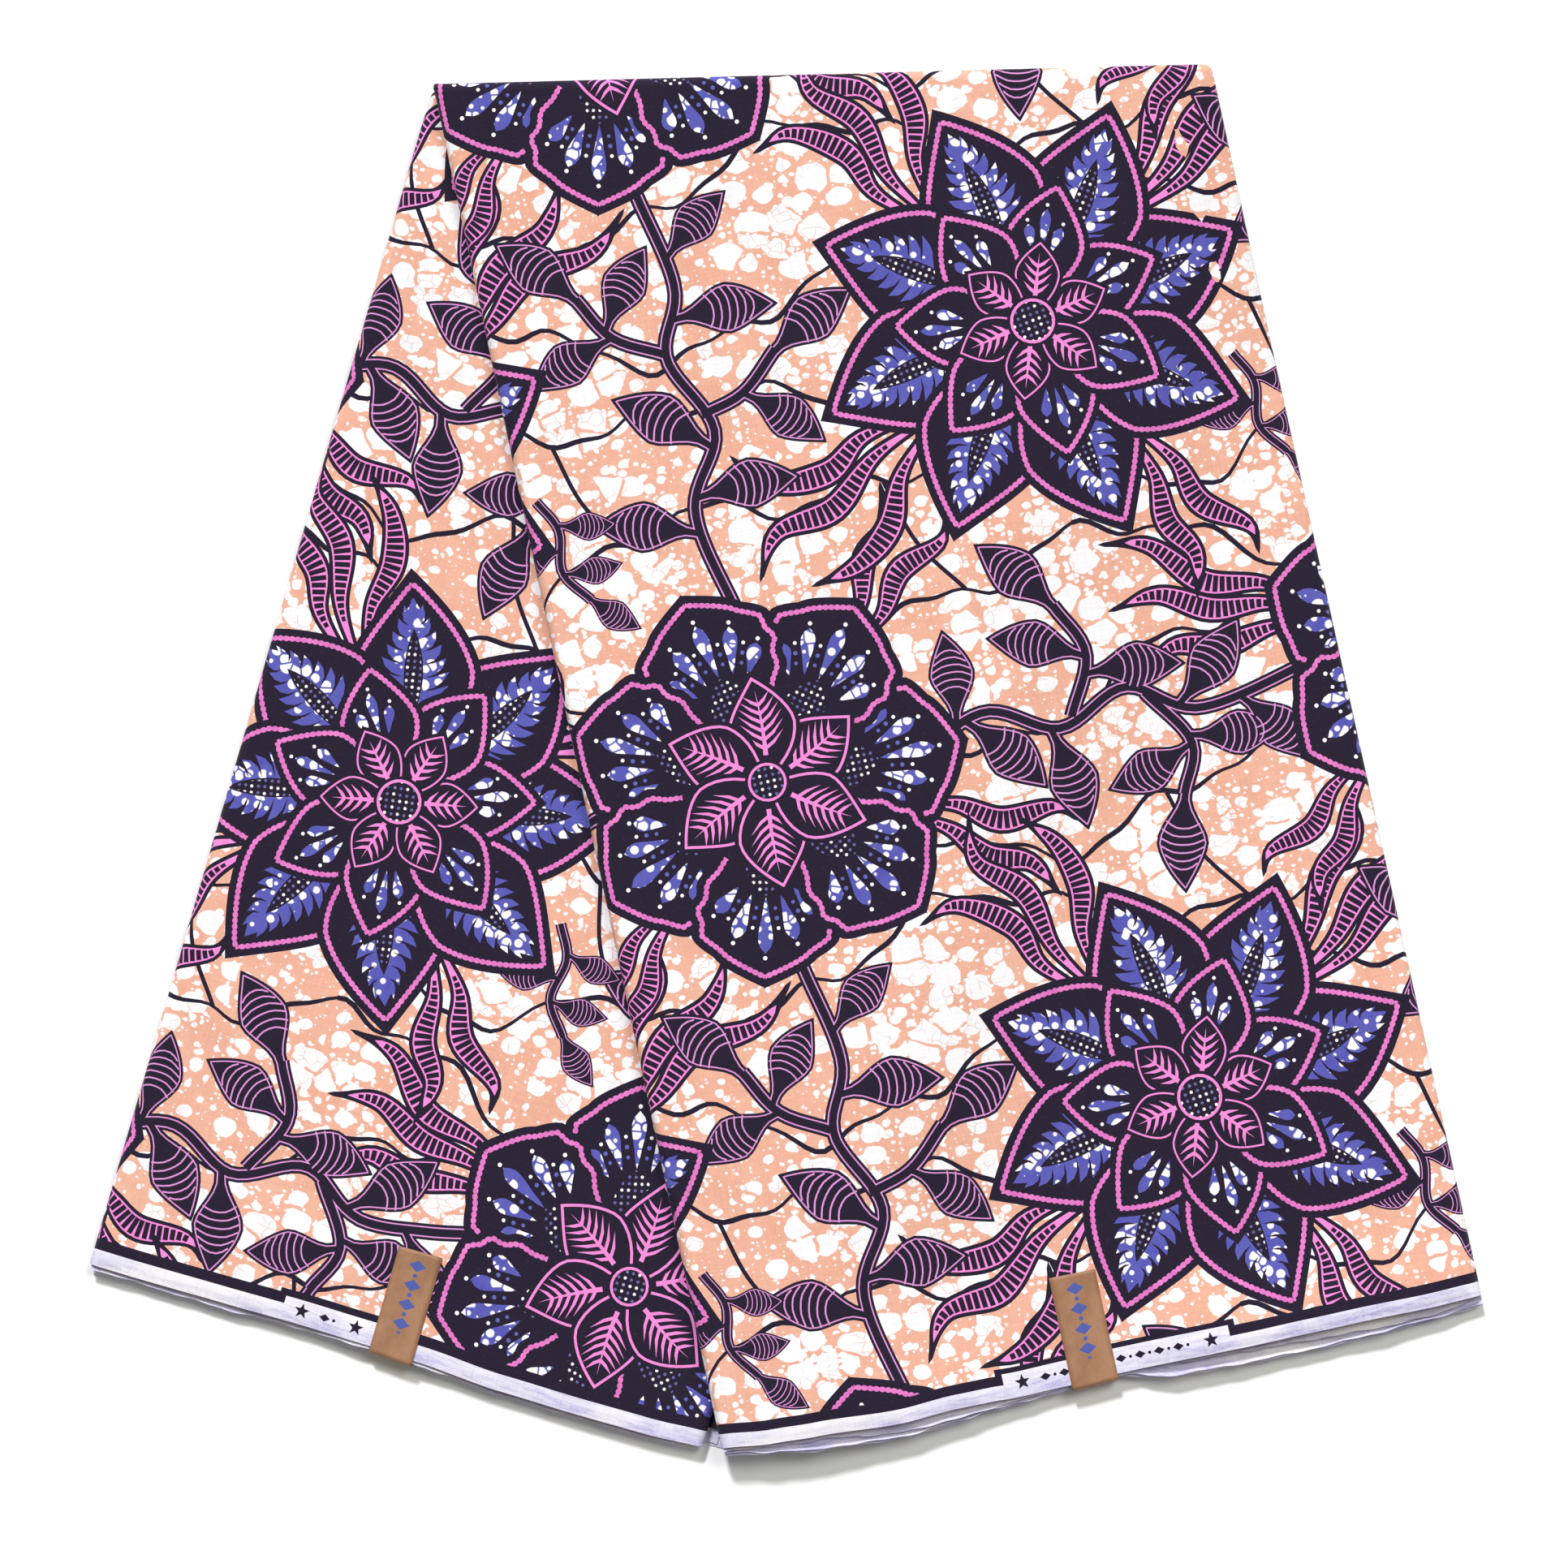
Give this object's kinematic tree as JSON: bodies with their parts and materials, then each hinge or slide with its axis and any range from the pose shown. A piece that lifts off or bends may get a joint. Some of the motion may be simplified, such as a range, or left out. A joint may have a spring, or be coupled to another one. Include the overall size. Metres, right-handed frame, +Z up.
{
  "type": "wax print fabric",
  "caption": "Length of wax print cotton folded and laid flat as a fan of two leaves, with a bare paper band round the cut edges of each leaf.",
  "frame": {"origin": "centre of the bounding box in plan, on the surface that the cloth lies on", "axes": "+Z up out of the surface, -Y towards the cut edges and their paper bands, +X to the right seen from above with the cut edges nearest"},
  "size_m": [0.6182, 0.6182, 0.0193],
  "materials": {
    "left_leaf_core": "matte cotton",
    "left_leaf_face": "printed cotton",
    "left_band": "brown paper",
    "right_leaf_core": "matte cotton",
    "right_leaf_face": "printed cotton",
    "right_band": "brown paper"
  },
  "bodies": {
    "root": {"left_leaf_core": "left_leaf_core", "left_leaf_face": "left_leaf_face", "left_band": "left_band", "right_leaf_core": "right_leaf_core", "right_leaf_face": "right_leaf_face", "right_band": "right_band"}
  },
  "joints": []
}
